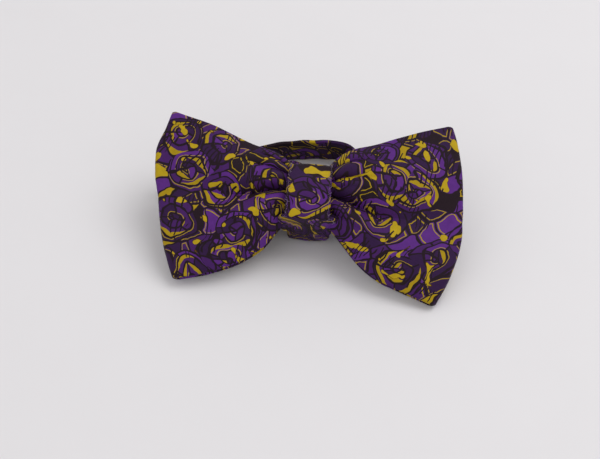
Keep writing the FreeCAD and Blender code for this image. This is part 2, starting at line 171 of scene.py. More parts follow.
def band(tree, value, edge, softness):   # 1 below the edge, 0 above it, with a soft step
    made = put(tree, "ShaderNodeMapRange", {"interpolation_type": "SMOOTHSTEP"}, _0=value,
               _1=edge - softness, _2=edge + softness, _3=1.0, _4=0.0)
    return made.outputs[0]


def newMaterial(name, roughness, metallic=0.0, specular=0.3, sheen=0.0, sheenTint=(1, 1, 1)):
    material = bpy.data.materials.new(name)
    material.use_nodes = True
    tree = material.node_tree
    shader = tree.nodes["Principled BSDF"]
    shader.inputs["Roughness"].default_value = roughness
    shader.inputs["Metallic"].default_value = metallic
    shader.inputs["Specular IOR Level"].default_value = specular
    shader.inputs["Sheen Weight"].default_value = sheen
    shader.inputs["Sheen Tint"].default_value = (*sheenTint, 1)
    return material, tree, shader


def fromSrgb(red, green, blue):
    return tuple((v / 12.92 if v <= 0.04045 else ((v + 0.055) / 1.055) ** 2.4)
                 for v in (red / 255, green / 255, blue / 255)) + (1,)


printedCloth = {
    "rose": 20.0, "ring": 3.2, "roseReach": 9.0, "reachSpread": 2.4, "leaf": 6.8,   # spacings in mm
    "line": 0.36, "lineSoft": 0.08,
    # how far shapes stray, and how often
    "drift": 3.3, "driftScale": 0.075, "wobble": 0.35, "wobbleScale": 0.36,
    "roseScatter": 0.7, "ringShift": 3.0, "petals": 3.0, "petalShift": 0.37,
    "petalArc": 2.1, "wholeArc": 6.3,   # mm of arc for each mm from the middle, in a petal and all round
    "roseTones": ((0.0, "deep"), (0.34, "violet"), (0.72, "bright")),
    "crescentTop": 0.9, "crescentDepth": 0.5, "crescentChance": 0.68,
    "linerAt": 0.2, "linerHalf": 0.045, "linerChance": 0.55,
    "leafTurn": 0.6, "leafStretch": (1.35, 0.8, 1),
    "leafTones": ((0.0, "ink"), (0.2, "deep"), (0.48, "violet"), (0.7, "bright"), (0.88, "gold")),
    "ribAt": 0.85, "ribHalf": 0.16, "ribChance": 0.5,
    "patchScale": 0.16, "patchDetail": 0.6, "patchSoft": 0.004,
    "patchRims": ((0.698, "umber"), (0.712, "paleGold")),
    "hatchTurn": 1.1, "hatchPitch": (1.15, 0.2, 1), "hatchHalf": 0.16, "shadeScale": 0.11, "shadeBelow": 0.42,
    "dyeScale": 0.5, "dyeDetail": 3.0, "dyeGain": 0.3, "dyeBase": 0.85,
    "weavePitch": 0.34, "weaveStrength": 0.35, "weaveDepth": 0.00012,   # the depth is in metres
    "ink": (30, 14, 24), "deep": (46, 20, 62), "violet": (66, 27, 92), "bright": (86, 38, 122),
    "gold": (164, 136, 14), "paleGold": (178, 150, 20), "umber": (66, 36, 16),
    "roughness": 0.6, "specular": 0.14, "sheen": 0.02, "sheenTint": (0.8, 0.55, 0.9),
}


def makePrintedCloth(name, spec):
    material, tree, shader = newMaterial(name, spec["roughness"], specular=spec["specular"], sheen=spec["sheen"],
                                         sheenTint=spec["sheenTint"])
    do = partial(calc, tree)
    flat = put(tree, "ShaderNodeUVMap", {"uv_map": "flat"}).outputs[0]
    cloth = scaled(tree, flat, perMetre)

    def over(factor, under, tone):   # a dye laid over what is there
        return mixed(tree, factor, under, fromSrgb(*spec[tone]))

    def outlined(distance, under):
        return over(band(tree, distance, spec["line"], spec["lineSoft"]), under, "ink")

    def strayed(place, kind):
        noise = flatNoise(tree, cloth, spec[kind + "Scale"], 1.0)["Color"]
        return vectorCalc(tree, "ADD", place,
                          scaled(tree, vectorCalc(tree, "SUBTRACT", noise, (0.5, 0.5, 0.5)), 2 * spec[kind]))

    loose = strayed(cloth, "drift")
    drawn = strayed(loose, "wobble")

    # roses: rings of petals round scattered centres
    rose = put(tree, "ShaderNodeTexVoronoi", {"voronoi_dimensions": "2D"}, Vector=loose,
               Scale=1 / spec["rose"], Randomness=spec["roseScatter"])
    chance = split(tree, rose.outputs["Color"])
    spoke = split(tree, vectorCalc(tree, "SUBTRACT", drawn, rose.outputs["Position"]))
    squares = [do("POWER", do("ABSOLUTE", spoke[axis]), 2.0) for axis in (0, 1)]
    reach = do("SQRT", do("ADD", *squares))
    turn = do("DIVIDE", do("ARCTAN2", spoke[1], spoke[0]), 2 * math.pi)
    spiral = do("ADD", do("ADD", do("DIVIDE", reach, spec["ring"]), turn),
                do("MULTIPLY", chance[0], spec["ringShift"]))
    ring, ringPart = do("FLOOR", spiral), do("FRACT", spiral)
    sector = do("ADD", do("MULTIPLY", turn, spec["petals"]),
                do("ADD", do("MULTIPLY", ring, spec["petalShift"]), chance[1]))
    petal, petalPart = do("FLOOR", sector), do("FRACT", sector)
    toRing = do("MULTIPLY", do("PINGPONG", ringPart, 0.5), spec["ring"])
    toSide = do("MULTIPLY", do("PINGPONG", petalPart, 0.5), do("MULTIPLY", reach, spec["petalArc"]))
    toSeam = do("MULTIPLY", do("PINGPONG", do("ADD", turn, 0.5), 0.5), do("MULTIPLY", reach, spec["wholeArc"]))
    key = put(tree, "ShaderNodeCombineXYZ", _0=ring, _1=petal, _2=do("MULTIPLY", chance[2], 91.0))
    dice = put(tree, "ShaderNodeTexWhiteNoise", {"noise_dimensions": "3D"}, Vector=key.outputs[0])
    diceParts = split(tree, dice.outputs["Color"])
    tone = put(tree, "ShaderNodeValToRGB", _0=dice.outputs["Value"])
    fillTones(tone, spec, spec["roseTones"])
    swell = do("MULTIPLY", do("SINE", do("MULTIPLY", petalPart, math.pi)), spec["crescentDepth"])
    crescentEdge = do("SUBTRACT", spec["crescentTop"],
                      do("MULTIPLY", swell, do("GREATER_THAN", diceParts[1], spec["crescentChance"])))
    crescent = do("MULTIPLY", do("GREATER_THAN", ringPart, crescentEdge),
                  do("LESS_THAN", ringPart, spec["crescentTop"]))
    liner = do("MULTIPLY", do("COMPARE", ringPart, spec["linerAt"], spec["linerHalf"]),
               do("GREATER_THAN", diceParts[2], spec["linerChance"]))
    roseColour = over(do("MAXIMUM", crescent, liner), tone.outputs[0], "gold")
    roseColour = outlined(do("MINIMUM", do("MINIMUM", toRing, toSide), toSeam), roseColour)

    # leaves between the roses: stretched cells with a dark outline
    stretched = put(tree, "ShaderNodeMapping", {"vector_type": "TEXTURE"}, Vector=drawn,
                    Rotation=(0, 0, spec["leafTurn"]), Scale=spec["leafStretch"]).outputs[0]
    leafEdge = put(tree, "ShaderNodeTexVoronoi", {"voronoi_dimensions": "2D", "feature": "DISTANCE_TO_EDGE"},
                   Vector=stretched, Scale=1 / spec["leaf"])
    leaf = put(tree, "ShaderNodeTexVoronoi", {"voronoi_dimensions": "2D"}, Vector=stretched,
               Scale=1 / spec["leaf"])
    leafChance = split(tree, leaf.outputs["Color"])
    leafTone = put(tree, "ShaderNodeValToRGB", _0=leafChance[0])
    fillTones(leafTone, spec, spec["leafTones"])
    toLeafEdge = do("MULTIPLY", leafEdge.outputs["Distance"], spec["leaf"])
    rib = do("MULTIPLY", do("COMPARE", toLeafEdge, spec["ribAt"], spec["ribHalf"]),
             do("GREATER_THAN", leafChance[1], spec["ribChance"]))
    leafColour = outlined(toLeafEdge, over(rib, leafTone.outputs[0], "gold"))

    # each rose ends in an outline, with leaves beyond it
    rim = do("SUBTRACT", reach,
             do("MULTIPLY_ADD", chance[1], spec["reachSpread"], spec["roseReach"] - spec["reachSpread"] / 2))
    colour = mixed(tree, do("GREATER_THAN", rim, 0.0), roseColour, leafColour)
    colour = outlined(do("ABSOLUTE", rim), colour)

    # lobed gold patches with an umber edge, and hatched shade
    under = do("MULTIPLY", flatNoise(tree, drawn, spec["patchScale"], spec["patchDetail"])[0], -1.0)
    for level, dye in spec["patchRims"]:
        colour = over(band(tree, under, -level, spec["patchSoft"]), colour, dye)
    slant = put(tree, "ShaderNodeMapping", Vector=drawn, Rotation=(0, 0, spec["hatchTurn"]),
                Scale=spec["hatchPitch"])
    stroke = do("PINGPONG", split(tree, slant.outputs[0])[0], 0.5)
    shaded = do("LESS_THAN", flatNoise(tree, loose, spec["shadeScale"], 0.0)[0], spec["shadeBelow"])
    colour = over(do("MULTIPLY", do("LESS_THAN", stroke, spec["hatchHalf"]), shaded), colour, "ink")

    # dye that took unevenly, then the weave
    dye = flatNoise(tree, cloth, spec["dyeScale"], spec["dyeDetail"])[0]
    tree.links.new(varied(tree, colour, dye, spec["dyeGain"], spec["dyeBase"]), shader.inputs["Base Color"])
    threads = split(tree, scaled(tree, flat, perMetre * math.pi / spec["weavePitch"]))
    warp, weft = (do("ABSOLUTE", do("SINE", threads[axis])) for axis in (0, 1))
    roughen(tree, shader, do("MULTIPLY", warp, weft), spec["weaveStrength"], spec["weaveDepth"])
    return material


def fillTones(ramp, spec, stops):
    ramp.color_ramp.interpolation = "CONSTANT"
    while len(ramp.color_ramp.elements) < len(stops):
        ramp.color_ramp.elements.new(0.5)
    for element, (place, tone) in zip(ramp.color_ramp.elements, stops):
        element.position = place
        element.color = fromSrgb(*spec[tone])


# tone is the gain and base of a colour's variation, bump its strength and its depth in metres
stiffeningFinish = {"colour": (214, 208, 196), "fibre": 0.9, "detail": 5.0, "roughness": 0.9,
                    "tone": (0.35, 0.8), "bump": (0.5, 0.0002)}
threadFinish = {"colour": (44, 26, 62), "twist": 1.05, "distortion": 1.5, "roughness": 0.7, "sheen": 0.2,
                "tone": (0.5, 0.75), "bump": (0.6, 0.0001)}
metalFinish = {"colour": (176, 176, 178), "roughness": 0.32, "scratch": 1.6, "detail": 6.0,
               "tone": (0.4, 0.8), "polish": 0.12, "wear": 0.3}
floorFinish = {"colour": (226, 224, 226), "grain": 45.0, "detail": 3.0, "roughness": 0.8, "tone": (0.02, 0.99)}


def makeStiffening(spec):
    material, tree, shader = newMaterial("stiffening", spec["roughness"])
    fibre = put(tree, "ShaderNodeTexNoise", Vector=objectPlace(tree), Scale=spec["fibre"],
                Detail=spec["detail"]).outputs[0]
    colour = varied(tree, fromSrgb(*spec["colour"]), fibre, *spec["tone"])
    tree.links.new(colour, shader.inputs["Base Color"])
    roughen(tree, shader, fibre, *spec["bump"])
    return material


def makeThread(spec):
    material, tree, shader = newMaterial("thread", spec["roughness"], sheen=spec["sheen"])
    twist = put(tree, "ShaderNodeTexWave", {"bands_direction": "DIAGONAL"}, Vector=objectPlace(tree),
                Scale=spec["twist"], Distortion=spec["distortion"], Detail=1.0).outputs["Fac"]
    colour = varied(tree, fromSrgb(*spec["colour"]), twist, *spec["tone"])
    tree.links.new(colour, shader.inputs["Base Color"])
    roughen(tree, shader, twist, *spec["bump"])
    return material


def makeMetal(spec):
    material, tree, shader = newMaterial("metal", spec["roughness"], metallic=1.0)
    scratch = put(tree, "ShaderNodeTexNoise", Vector=objectPlace(tree), Scale=spec["scratch"],
                  Detail=spec["detail"]).outputs[0]
    colour = varied(tree, fromSrgb(*spec["colour"]), scratch, *spec["tone"])
    tree.links.new(colour, shader.inputs["Base Color"])
    worn = calc(tree, "MULTIPLY_ADD", scratch, spec["wear"], spec["roughness"] - spec["polish"])
    tree.links.new(worn, shader.inputs["Roughness"])
    return material


def makeFloorFinish(spec):
    material, tree, shader = newMaterial("floor_paint", spec["roughness"])
    place = put(tree, "ShaderNodeTexCoord").outputs["Object"]
    grain = put(tree, "ShaderNodeTexNoise", Vector=place, Scale=spec["grain"], Detail=spec["detail"]).outputs[0]
    colour = varied(tree, fromSrgb(*spec["colour"]), grain, *spec["tone"])
    tree.links.new(colour, shader.inputs["Base Color"])
    return material


clothMaterial = makePrintedCloth("printed_cloth", printedCloth)
stiffeningMaterial = makeStiffening(stiffeningFinish)
threadMaterial = makeThread(threadFinish)
metalMaterial = makeMetal(metalFinish)
floorMaterial = makeFloorFinish(floorFinish)
print("materials made")


# the floor

floorPlan = {"half": 3.0}


def makeFloor(spec):
    half = spec["half"]
    mesh = bpy.data.meshes.new("floor")
    corners = [(-half, -half, 0), (half, -half, 0), (half, half, 0), (-half, half, 0)]
    mesh.from_pydata(corners, [], [(0, 1, 2, 3)])
    floor = bpy.data.objects.new("floor", mesh)
    mesh.materials.append(floorMaterial)
    scene.collection.objects.link(floor)


makeFloor(floorPlan)


# meshes from grids of points

def smoothTable(places, values, at, spread=3.0):   # values between stations, with the corners eased
    beyond, samples = 12, 600
    fine = np.linspace(places[0] - beyond, places[-1] + beyond, samples)
    step = fine[1] - fine[0]
    reach = int(3 * spread / step)
    kernel = np.exp(-0.5 * (np.arange(-reach, reach + 1) * step / spread) ** 2)
    eased = np.convolve(np.interp(fine, places, values), kernel / kernel.sum(), mode="same")
    eased[:reach], eased[-reach:] = eased[reach], eased[-reach - 1]
    return np.interp(at, fine, eased)


def gridFaces(rows, columns, roundColumns=False):
    faces = []
    for r in range(rows - 1):
        for c in range(columns if roundColumns else columns - 1):
            here, nextC = r * columns, (c + 1) % columns
            faces.append((here + c, here + nextC, here + columns + nextC, here + columns + c))
    return faces


def endCaps(rows, columns):   # close both ends of a grid whose columns go round
    last = (rows - 1) * columns
    return [tuple(range(columns)), tuple(range(last + columns - 1, last - 1, -1))]


def makeObject(name, points, faces, flat, material):
    mesh = bpy.data.meshes.new(name)
    mesh.from_pydata([tuple(p) for p in points.reshape(-1, 3)], [], faces)
    layer = mesh.uv_layers.new(name="flat")
    corners = np.array([loop.vertex_index for loop in mesh.loops])
    layer.data.foreach_set("uv", flat.reshape(-1, 2)[corners].ravel())
    mesh.materials.append(material)
    mesh.polygons.foreach_set("use_smooth", np.ones(len(mesh.polygons), bool))
    made = bpy.data.objects.new(name, mesh)
    scene.collection.objects.link(made)
    return made


def applyModifiers(thing):
    bpy.context.view_layer.update()
    ready = thing.evaluated_get(bpy.context.evaluated_depsgraph_get())
    mesh = bpy.data.meshes.new_from_object(ready)
    thing.modifiers.clear()
    thing.data = mesh
    mesh.name = thing.name


def rework(thing, weld=False):   # faces turned outwards, with doubled points welded if asked
    mesh = bmesh.new()
    mesh.from_mesh(thing.data)
    if weld:
        bmesh.ops.remove_doubles(mesh, verts=mesh.verts, dist=1e-6)
    bmesh.ops.triangulate(mesh, faces=[face for face in mesh.faces if len(face.verts) > 4])
    bmesh.ops.recalc_face_normals(mesh, faces=mesh.faces)
    mesh.to_mesh(thing.data)
    mesh.free()
    thing.data.update()


def thicken(thing, thickness):
    solid = thing.modifiers.new("ply", "SOLIDIFY")
    solid.thickness, solid.offset = thickness * mm, 0
    applyModifiers(thing)
    rework(thing)


def gridNormals(points):
    normal = np.cross(np.gradient(points, axis=0), np.gradient(points, axis=1))
    return normal / np.maximum(np.linalg.norm(normal, axis=-1, keepdims=True), 1e-12)


def lengths(points, axis):   # distance walked along a grid's rows or columns
    steps = np.linalg.norm(np.diff(points, axis=axis), axis=-1)
    pad = [(0, 0), (0, 0)]
    pad[axis] = (1, 0)
    return np.cumsum(np.pad(steps, pad), axis=axis)


def finishSheet(thing, body, replaced):
    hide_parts(replaced)
    if body:
        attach(thing, body)


# the bow plane leans back on the lower corners

bowPlane = {"lean": 30.0, "middle": (0.586, -1.587, 21.089)}


def onBowPlane(points):   # x along the bow, s up its height, n out of its face, in mm
    points = np.asarray(points, float)
    lean, shift = math.radians(bowPlane["lean"]), bowPlane["middle"]
    c, d = math.cos(lean), math.sin(lean)
    x, s, n = points[..., 0], points[..., 1], points[..., 2]
    return np.stack([x + shift[0], s * c - n * d + shift[1], s * d + n * c + shift[2]], -1) * mm


# wings: folded bands of cloth, gathered into the knot

leftWing = {
    "name": "left_wing", "side": -1,
    "top": [(6.6, 10.4), (13.0, 14.9), (24.6, 18.7), (41.3, 25.6), (55.9, 29.8)],
    "low": [(6.6, -8.8), (11.0, -13.2), (17.0, -21.4), (26.0, -27.7), (38.5, -32.8), (48.5, -35.3)],
    "edge": [(48.5, -35.3), (52.7, -23.0), (57.2, -6.5), (60.3, 8.0), (60.4, 15.6), (57.6, 23.4),
             (55.9, 29.8)],
    "stations": (6.6, 9.6, 15.0, 27.0, 46.0, 60.0),
    "lobe": (5.4, 7.0, 9.2, 9.6, 5.6, 2.2), "brim": (2.4, 2.8, 3.0, 2.4, 2.0, 2.0),
    "back": (0.6, 0.0, -0.8, -2.2, -1.8, -0.3),
    "creaseDepth": (3.6, 6.0, 7.0, 5.6, 2.2, 0.2), "creaseWidth": (0.06, 0.065, 0.075, 0.085, 0.13, 0.2),
    "creaseAt": (0.53, 0.53, 0.53, 0.52, 0.51, 0.5),
    # place at the knot, place at the corner end, width, depth and reach in mm
    "pleats": [(0.80, 0.88, 0.045, 3.2, 17.0), (0.93, 0.96, 0.03, 2.4, 12.0), (0.30, 0.22, 0.07, 1.4, 22.0),
               (0.67, 0.74, 0.05, 1.3, 14.0), (0.12, 0.10, 0.05, 1.0, 12.0)],
    "seed": 3,
}
rightWing = {
    "name": "right_wing", "side": 1,
    "top": [(6.6, 11.0), (10.5, 15.4), (14.6, 18.2), (24.8, 21.6), (34.0, 25.1), (43.4, 28.5), (52.3, 31.0)],
    "low": [(6.6, -9.5), (12.3, -15.6), (20.6, -24.5), (28.9, -30.5), (38.0, -34.2), (49.4, -38.4)],
    "edge": [(49.4, -38.4), (54.5, -26.0), (57.9, -13.7), (58.1, -4.0), (56.8, 11.4), (54.1, 24.8),
             (52.3, 31.0)],
    "stations": (6.6, 9.6, 15.0, 27.0, 46.0, 60.0),
    "lobe": (5.4, 7.2, 9.4, 9.8, 5.8, 2.2), "brim": (2.4, 3.0, 3.2, 2.4, 2.0, 2.0),
    "back": (0.6, 0.0, -0.8, -2.2, -1.8, -0.3),
    "creaseDepth": (3.6, 5.8, 7.2, 7.0, 3.0, 0.3), "creaseWidth": (0.06, 0.07, 0.085, 0.1, 0.14, 0.2),
    "creaseAt": (0.47, 0.46, 0.44, 0.42, 0.45, 0.46),
    "pleats": [(0.72, 0.70, 0.05, 3.6, 15.0), (0.90, 0.84, 0.035, 2.2, 15.0), (0.22, 0.26, 0.06, 1.4, 20.0),
               (0.60, 0.60, 0.05, 1.2, 24.0)],
    "seed": 8,
}
wingMake = {
    "frontRows": 84, "foldRows": 9, "backRows": 46, "columns": 96,
    "ply": 0.6, "fabricThick": 0.36, "liningThick": 0.7, "facingThick": 0.3, "facingDrop": 0.3,
    "hem": 2.4, "hemSteps": 5, "liningInset": 0.4, "facingInset": 0.9,
    "rowCrowding": 1.15,   # rows stand closer together near the knot
    "puff": 1.012, "settleFrames": 20, "settleCap": 0.9, "settleScale": 10, "smoothing": 6,
    "looseFrom": 9, "looseOver": 12, "looseShare": 0.7,   # where the band is let go of, in mm, and how far
    "blendStart": 7.6, "blendEnd": 19.0, "blendHeight": 4, "printFrom": 6,
    "ease": 2.0, "backEase": 2.5, "crownPower": 2.6, "creasePower": 1.5,
    "pleatFrom": 9, "pleatOver": 50, "pleatWiden": 2.2,
    "waves": 7, "waveHeight": 0.16, "waveFrom": 12, "waveOver": 20,
}
settleCloth = {
    "vertex_group_mass": "hold", "pin_stiffness": 0.6, "quality": 5, "mass": 0.15, "tension_stiffness": 20,
    "compression_stiffness": 20, "shear_stiffness": 8, "bending_stiffness": 0.4,
}


def throughPoints(points, t):   # a smooth curve through the points, t from 0 to 1 along it
    points = np.array(points, float)
    knots = np.concatenate([[0], np.cumsum(np.linalg.norm(np.diff(points, axis=0), axis=1))])
    knots /= knots[-1]
    slopes = np.gradient(points, knots, axis=0)
    t = np.asarray(t, float)
    here = np.clip(np.searchsorted(knots, t, side="right") - 1, 0, len(points) - 2)
    span = (knots[here + 1] - knots[here])[..., None]
    f = (t - knots[here])[..., None] / span
    return ((2 * f ** 3 - 3 * f ** 2 + 1) * points[here] + (f ** 3 - 2 * f ** 2 + f) * span * slopes[here]
            + (3 * f ** 2 - 2 * f ** 3) * points[here + 1] + (f ** 3 - f ** 2) * span * slopes[here + 1])


def patch(wing, u, a):   # the wing's outline filled in: u from the knot outwards, a from low to top
    lowRoot, topRoot, lowEnd, topEnd = (np.array(wing[side][end], float)
                                        for end in (0, -1) for side in ("low", "top"))
    u, a = u[..., None], a[..., None]
    ruled = (1 - a) * throughPoints(wing["low"], u[..., 0]) + a * throughPoints(wing["top"], u[..., 0])
    ends = (1 - u) * (lowRoot + a * (topRoot - lowRoot)) + u * throughPoints(wing["edge"], a[..., 0])
    corners = (1 - u) * (1 - a) * lowRoot + (1 - u) * a * topRoot + u * (1 - a) * lowEnd + u * a * topEnd
    return ruled + ends - corners


def pleatShape(t):   # a fold that is steep on one side
    return np.where(t > 0, np.exp(-2.2 * np.abs(t)), np.exp(-t ** 2))


def frontRise(wing, make, x, a):   # how far the front stands out of the bow plane
    def at(key):
        return smoothTable(wing["stations"], wing[key], x, make["ease"])

    crown = 1 - np.abs(2 * a - 1) ** make["crownPower"]
    rise = at("brim") + (at("lobe") - at("brim")) * crown
    gap = (a - at("creaseAt")) / at("creaseWidth")
    rise = rise - at("creaseDepth") * np.exp(-np.abs(gap) ** make["creasePower"])
    for near, far, width, depth, reach in wing["pleats"]:
        walk = np.clip((x - wing["stations"][0]) / make["pleatOver"], 0, 1)
        middle = near + (far - near) * walk
        fade = np.exp(-((x - make["pleatFrom"]) / reach) ** 2)
        rise = rise - depth * fade * pleatShape((a - middle) / (width * (1 + make["pleatWiden"] * walk)))
    draws = np.random.default_rng(wing["seed"])
    for _ in range(make["waves"]):   # slow unevenness in the cloth
        kx, ka, shift = draws.uniform(0.05, 0.16), draws.uniform(2, 7), draws.uniform(0, 6.3)
        outwards = np.clip((x - make["waveFrom"]) / make["waveOver"], 0, 1)
        rise = rise + make["waveHeight"] * np.sin(kx * x + ka * a + shift) * outwards
    return rise


def wingBand(wing, make):   # rows go from the knot along the front, round the outer fold and back behind
    a = np.linspace(0, 1, make["columns"])
    u = np.linspace(0, 1, make["frontRows"]) ** make["rowCrowding"]
    gridU, gridA = np.meshgrid(u, a, indexing="ij")
    front = patch(wing, gridU, gridA)
    frontN = frontRise(wing, make, front[..., 0], gridA)
    back = patch(wing, *np.meshgrid(np.linspace(1, 0, make["backRows"]), a, indexing="ij"))
    backN = smoothTable(wing["stations"], wing["back"], back[..., 0], make["backEase"])
    radius = (frontN[-1] - backN[0]) / 2
    middle = (frontN[-1] + backN[0]) / 2
    angles = np.linspace(0, math.pi, make["foldRows"] + 2)[1:-1]
    fold = np.stack([np.stack([front[-1, :, 0] + radius * math.sin(t), front[-1, :, 1],
                               middle + radius * math.cos(t)], -1) for t in angles])
    rows = np.concatenate([np.dstack([front, frontN]), fold, np.dstack([back, backN])])
    rows[..., 0] *= wing["side"]
    return rows


def settle(name, rows, make):   # lets the band relax as cloth, held at the knot
    mesh = bpy.data.meshes.new(name + "_settling")
    enlarged = rows * mm * make["settleScale"]
    mesh.from_pydata([tuple(p) for p in enlarged.reshape(-1, 3)], [], gridFaces(*rows.shape[:2]))
    piece = bpy.data.objects.new(name + "_settling", mesh)
    scene.collection.objects.link(piece)
    hold = piece.vertex_groups.new(name="hold")
    outwards = np.clip((np.abs(rows[..., 0]) - make["looseFrom"]) / make["looseOver"], 0, 1)
    for i, weight in enumerate((1 - make["looseShare"] * outwards).reshape(-1)):
        hold.add([i], float(weight), "REPLACE")
    cloth = piece.modifiers.new("cloth", "CLOTH")
    for setting, value in settleCloth.items():
        setattr(cloth.settings, setting, value)
    cloth.settings.shrink_min = 1 - make["puff"] ** 2
    cloth.settings.effector_weights.gravity = 0
    cloth.collision_settings.use_collision = False
    cloth.point_cache.frame_start, cloth.point_cache.frame_end = 1, make["settleFrames"]
    for step in range(1, make["settleFrames"] + 1):
        scene.frame_set(step)
    ready = piece.evaluated_get(bpy.context.evaluated_depsgraph_get())
    after = np.zeros(rows.size)
    ready.data.vertices.foreach_get("co", after)
    after = after.reshape(rows.shape) / (mm * make["settleScale"])
    scene.frame_set(1)
    bpy.data.objects.remove(piece)
    moved = after - rows
    for _ in range(make["smoothing"]):   # evens out the smallest ripples
        padded = np.pad(moved, ((1, 1), (1, 1), (0, 0)), mode="edge")
        moved = (padded[:-2, 1:-1] + padded[2:, 1:-1] + padded[1:-1, :-2] + padded[1:-1, 2:] + 4 * moved) / 8
    far = np.linalg.norm(moved, axis=-1, keepdims=True)
    print(name, "settled by up to", round(float(far.max()), 2), "mm")
    return rows + moved * np.minimum(1, make["settleCap"] / np.maximum(far, 1e-9))


turnSteps = 6   # points round a turned edge


def turnedEdge(rows, normal, edge, make):   # the fabric turned round one long edge, 0 or -1
    inner = 1 if edge == 0 else -2
    outward = rows[:, edge] - rows[:, inner]
    outward = outward - normal[:, edge] * np.sum(outward * normal[:, edge], -1, keepdims=True)
    outward /= np.linalg.norm(outward, axis=-1, keepdims=True)
    ply = make["ply"]
    steps = [rows[:, edge] + normal[:, edge] * ply * math.cos(t) + outward * ply * math.sin(t)
             for t in np.linspace(0, math.pi, turnSteps + 1)[1:]]
    steps += [rows[:, edge] - normal[:, edge] * ply - outward * back
              for back in np.linspace(0, make["hem"], make["hemSteps"] + 1)[1:]]
    return steps


def makeWing(wing, make):
    rows = wingBand(wing, make)
    rows = settle(wing["name"], rows, make)
    normal = gridNormals(rows) * wing["side"]   # out of the front, round the fold and out of the back
    body, side = wing["name"], wing["side"]

    along = lengths(rows, 0).mean(1, keepdims=True) * np.ones((1, rows.shape[1]))
    across = lengths(rows, 1)
    across = across - across[:, [rows.shape[1] // 2]]

    def ply(name, points, alongBy, acrossBy, thickness, material, slotName, node):
        flat = np.stack([side * (alongBy + make["printFrom"]), acrossBy], -1) * mm
        thing = makeObject(name, onBowPlane(points), gridFaces(*points.shape[:2]), flat, material)
        thicken(thing, thickness)
        finishSheet(thing, None, node)
        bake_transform(thing)

    outer = rows + normal * make["ply"]
    low = turnedEdge(rows, normal, 0, make)[::-1]
    top = turnedEdge(rows, normal, -1, make)
    fabric = np.stack(low + [outer[:, c] for c in range(outer.shape[1])] + top, 1)
    fabricAcross = lengths(fabric, 1)
    middle = len(low) + rows.shape[1] // 2
    fabricAcross = fabricAcross - fabricAcross[:, [middle]]
    fabricAlong = along[:, :1] * np.ones((1, fabric.shape[1]))
    ply(body + "_cloth", fabric, fabricAlong, fabricAcross, make["fabricThick"], clothMaterial,
        "printed_cloth", body + "_fabric")

    def inset(amount):   # pulls the long edges in
        grow = lengths(rows, 1)
        wide = grow[:, -1:]
        goal = amount + (wide - 2 * amount) * np.linspace(0, 1, rows.shape[1])[None]
        return np.stack([np.stack([np.interp(goal[r], grow[r], rows[r, :, k]) for k in range(3)], -1)
                         for r in range(rows.shape[0])])

    lining = inset(make["liningInset"])
    ply(body + "_stiffener", lining, along, across, make["liningThick"], stiffeningMaterial, "stiffening",
        body + "_interlining")
    facing = inset(make["facingInset"]) - normal * (make["ply"] + make["facingDrop"])
    ply(body + "_backing", facing, along, across, make["facingThick"], clothMaterial, "printed_cloth",
        body + "_facing")


# the knot: a strip wound round the gathered middle and the strap

knot = {
    "halfWidth": 8.0,
    # corners of the wound strip from the side, s and n with the corner radius, in mm
    "corners": [(8.62, -4.86, 1.5), (12.0, 1.6, 2.0), (12.8, 5.5, 3.0), (2.0, 12.6, 14.0),
                (-11.2, 11.2, 1.6), (-15.5, -14.84, 5.0), (-6.32, -20.14, 1.8)],
    "count": 220, "columns": 34, "thick": 0.36, "skinDepth": 0.25, "crown": 0.5, "hem": 2.6, "turnRadius": 0.55,
    "seed": 5, "edgeWander": 0.22, "leftWaves": (2, 3, 5, 8, 13, 21), "rightWaves": (2, 4, 5, 9, 14, 19),
    # printShift is set so that darker print lies on the knot's underside below the front edge, a painted shade
    # there
    "hemSteps": 4, "ease": 4, "printShift": (90, 300),
    # ridges of the gathered belly, below s and within n
    "gathers": 0.4, "gatherPitch": 2.7, "gatherBend": (0.9, 2), "gatherBelow": 12.2, "gatherSoft": 0.3,
    "gatherReach": 14, "gatherFade": 8,
    # the belly below the front edge, and the narrower back; s and n limits in mm
    "bellyHalf": 10.8, "bellyUnder": -9, "bellyFront": 11.2, "bellyDepth": 26,
    "bellyRound": 0.9, "bellyPower": 2.4,
    "spreadFrom": 11.4, "spreadOver": 2.6,
    "backHalf": 6.0, "backFrom": 4, "backOver": 10, "backSpan": (-14.5, 8),
    "liningDepth": 0.95, "liningThick": 0.42, "liningShare": 0.9, "liningColumns": 20,
    # the share of the flat rectangle that the gathered strip and its lining take up
    "wrapAreaShare": 0.98, "liningLengthShare": 0.95, "liningAreaShare": 0.93,
}


def roundedLoop(corners, count):   # evenly spaced points round a closed outline with rounded corners
    points = []
    total = len(corners)
    for i in range(total):
        before, here, after = corners[i - 1], corners[i], corners[(i + 1) % total]
        p = np.array(here[:2], float)
        inTo = np.array(before[:2], float) - p
        out = np.array(after[:2], float) - p
        inTo /= np.linalg.norm(inTo)
        out /= np.linalg.norm(out)
        half = math.acos(max(-1, min(1, float(inTo @ out)))) / 2
        cut = here[2] / math.tan(half)
        bisector = (inTo + out) / np.linalg.norm(inTo + out)
        centre = p + bisector * (here[2] / math.sin(half))
        first, last = p + inTo * cut - centre, p + out * cut - centre
        for t in np.linspace(0, 1, 14):
            arm = first * (1 - t) + last * t
            points.append(centre + arm / np.linalg.norm(arm) * here[2])
    points = np.array(points + [points[0]])
    walked = np.concatenate([[0], np.cumsum(np.linalg.norm(np.diff(points, axis=0), axis=1))])
    at = np.linspace(0, walked[-1], count, endpoint=False)
    return np.stack([np.interp(at, walked, points[:, k]) for k in range(2)], -1), walked[-1]


def loopNormals(loop):
    along = np.roll(loop, -1, 0) - np.roll(loop, 1, 0)
    normal = np.stack([along[:, 1], -along[:, 0]], -1)
    normal /= np.linalg.norm(normal, axis=1, keepdims=True)
    centre = loop.mean(0)
    return normal if np.sum(normal * (loop - centre)) > 0 else -normal


